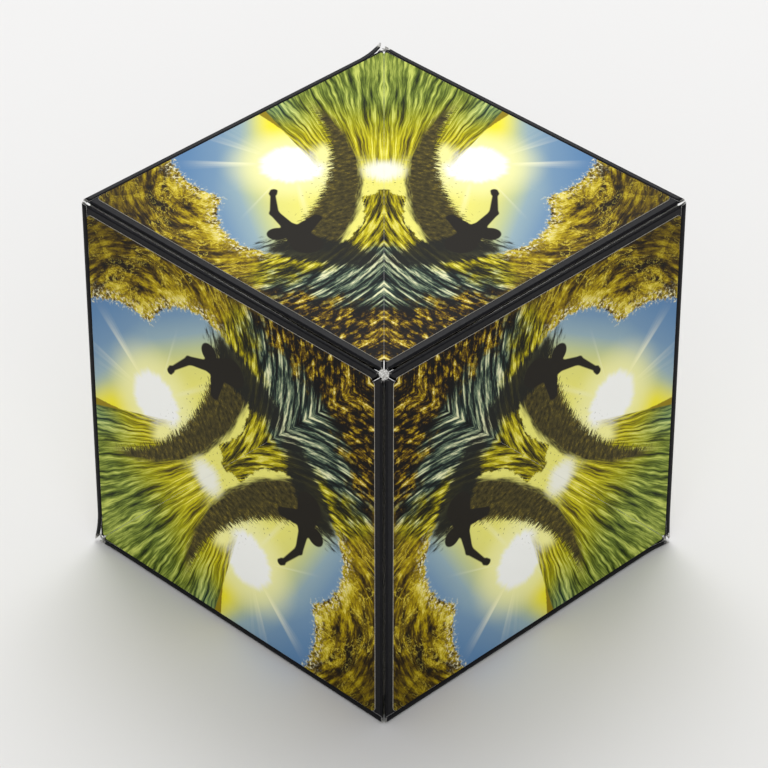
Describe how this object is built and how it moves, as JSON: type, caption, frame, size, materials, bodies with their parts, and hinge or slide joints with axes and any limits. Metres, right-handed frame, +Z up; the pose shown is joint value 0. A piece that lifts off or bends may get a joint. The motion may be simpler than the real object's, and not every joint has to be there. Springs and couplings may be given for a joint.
{
  "type": "folding magnetic puzzle cube",
  "caption": "Cube that folds open from a closed ring of hinged tetrahedral modules, with printed faces and magnets that hold it shut.",
  "frame": {"origin": "middle of the cube's bottom face, with the cube closed and standing on a face", "axes": "+Z up; the upper pole, the cube corner where six module tips meet, is at +X, -Y, +Z, and the lower pole is opposite it"},
  "size_m": [0.06, 0.06, 0.06],
  "materials": {
    "moulded_plastic": "satin black moulded plastic",
    "printed_cover": "semi-gloss printed film over a moulded cover",
    "magnet": "nickel-plated disc magnet"
  },
  "bodies": {
    "module_01": {"module_01_tub": "moulded_plastic", "module_01_cover": "printed_cover", "module_01_magnet_a": "magnet", "module_01_magnet_b": "magnet", "module_01_magnet_c": "magnet"},
    "module_02": {"module_02_tub": "moulded_plastic", "module_02_cover": "printed_cover", "module_02_magnet_a": "magnet", "module_02_magnet_b": "magnet", "module_02_magnet_c": "magnet"},
    "module_03": {"module_03_tub": "moulded_plastic", "module_03_cover": "printed_cover", "module_03_magnet_a": "magnet", "module_03_magnet_b": "magnet", "module_03_magnet_c": "magnet"},
    "module_04": {"module_04_tub": "moulded_plastic", "module_04_cover": "printed_cover", "module_04_magnet_a": "magnet", "module_04_magnet_b": "magnet", "module_04_magnet_c": "magnet"},
    "module_05": {"module_05_tub": "moulded_plastic", "module_05_cover": "printed_cover", "module_05_magnet_a": "magnet", "module_05_magnet_b": "magnet", "module_05_magnet_c": "magnet"},
    "module_06": {"module_06_tub": "moulded_plastic", "module_06_cover": "printed_cover", "module_06_magnet_a": "magnet", "module_06_magnet_b": "magnet", "module_06_magnet_c": "magnet"},
    "module_07": {"module_07_tub": "moulded_plastic", "module_07_cover": "printed_cover", "module_07_magnet_a": "magnet", "module_07_magnet_b": "magnet", "module_07_magnet_c": "magnet"},
    "module_08": {"module_08_tub": "moulded_plastic", "module_08_cover": "printed_cover", "module_08_magnet_a": "magnet", "module_08_magnet_b": "magnet", "module_08_magnet_c": "magnet"},
    "module_09": {"module_09_tub": "moulded_plastic", "module_09_cover": "printed_cover", "module_09_magnet_a": "magnet", "module_09_magnet_b": "magnet", "module_09_magnet_c": "magnet"},
    "module_10": {"module_10_tub": "moulded_plastic", "module_10_cover": "printed_cover", "module_10_magnet_a": "magnet", "module_10_magnet_b": "magnet", "module_10_magnet_c": "magnet"},
    "module_11": {"module_11_tub": "moulded_plastic", "module_11_cover": "printed_cover", "module_11_magnet_a": "magnet", "module_11_magnet_b": "magnet", "module_11_magnet_c": "magnet"},
    "module_12": {"module_12_tub": "moulded_plastic", "module_12_cover": "printed_cover", "module_12_magnet_a": "magnet", "module_12_magnet_b": "magnet", "module_12_magnet_c": "magnet"}
  },
  "joints": [
    {"name": "rim_hinge_01_02", "type": "hinge", "parent": "module_01", "child": "module_02", "pos_m": [-0.03, -0.03, 0], "axis": [1, 0, 0], "range_deg": [0, 55]},
    {"name": "pole_hinge_02_03", "type": "hinge", "parent": "module_02", "child": "module_03", "pos_m": [0, 0, 0.03], "axis": [-0.5774, 0.5774, -0.5774], "range_deg": [0, 52.25]},
    {"name": "rim_hinge_03_04", "type": "hinge", "parent": "module_03", "child": "module_04", "pos_m": [-0.03, -0.03, 0.06], "axis": [0, 0, 1], "range_deg": [0, 45.1]},
    {"name": "pole_hinge_04_05", "type": "hinge", "parent": "module_04", "child": "module_05", "pos_m": [0, 0, 0.03], "axis": [-0.5774, 0.5774, -0.5774], "range_deg": [0, 22]},
    {"name": "rim_hinge_05_06", "type": "hinge", "parent": "module_05", "child": "module_06", "pos_m": [-0.03, 0.03, 0.06], "axis": [0, -1, 0], "range_deg": [0, 46.75]},
    {"name": "pole_hinge_01_12", "type": "hinge", "parent": "module_01", "child": "module_12", "pos_m": [0, 0, 0.03], "axis": [0.5774, -0.5774, 0.5774], "range_deg": [0, 25.85]},
    {"name": "rim_hinge_12_11", "type": "hinge", "parent": "module_12", "child": "module_11", "pos_m": [0.03, 0.03, 0], "axis": [0, 1, 0], "range_deg": [0, 55]},
    {"name": "pole_hinge_11_10", "type": "hinge", "parent": "module_11", "child": "module_10", "pos_m": [0, 0, 0.03], "axis": [0.5774, -0.5774, 0.5774], "range_deg": [0, 52.25]},
    {"name": "rim_hinge_10_09", "type": "hinge", "parent": "module_10", "child": "module_09", "pos_m": [0.03, 0.03, 0.06], "axis": [0, 0, -1], "range_deg": [0, 45.1]},
    {"name": "pole_hinge_09_08", "type": "hinge", "parent": "module_09", "child": "module_08", "pos_m": [0, 0, 0.03], "axis": [0.5774, -0.5774, 0.5774], "range_deg": [0, 22]},
    {"name": "rim_hinge_08_07", "type": "hinge", "parent": "module_08", "child": "module_07", "pos_m": [-0.03, 0.03, 0.06], "axis": [-1, 0, 0], "range_deg": [0, 46.75]}
  ],
  "couplings": [
    {"joint": "pole_hinge_02_03", "follows": "rim_hinge_01_02", "ratio": 0.95},
    {"joint": "rim_hinge_03_04", "follows": "rim_hinge_01_02", "ratio": 0.82},
    {"joint": "pole_hinge_04_05", "follows": "rim_hinge_01_02", "ratio": 0.4},
    {"joint": "rim_hinge_05_06", "follows": "rim_hinge_01_02", "ratio": 0.85},
    {"joint": "pole_hinge_01_12", "follows": "rim_hinge_01_02", "ratio": 0.47},
    {"joint": "rim_hinge_12_11", "follows": "rim_hinge_01_02", "ratio": 1},
    {"joint": "pole_hinge_11_10", "follows": "rim_hinge_01_02", "ratio": 0.95},
    {"joint": "rim_hinge_10_09", "follows": "rim_hinge_01_02", "ratio": 0.82},
    {"joint": "pole_hinge_09_08", "follows": "rim_hinge_01_02", "ratio": 0.4},
    {"joint": "rim_hinge_08_07", "follows": "rim_hinge_01_02", "ratio": 0.85}
  ]
}
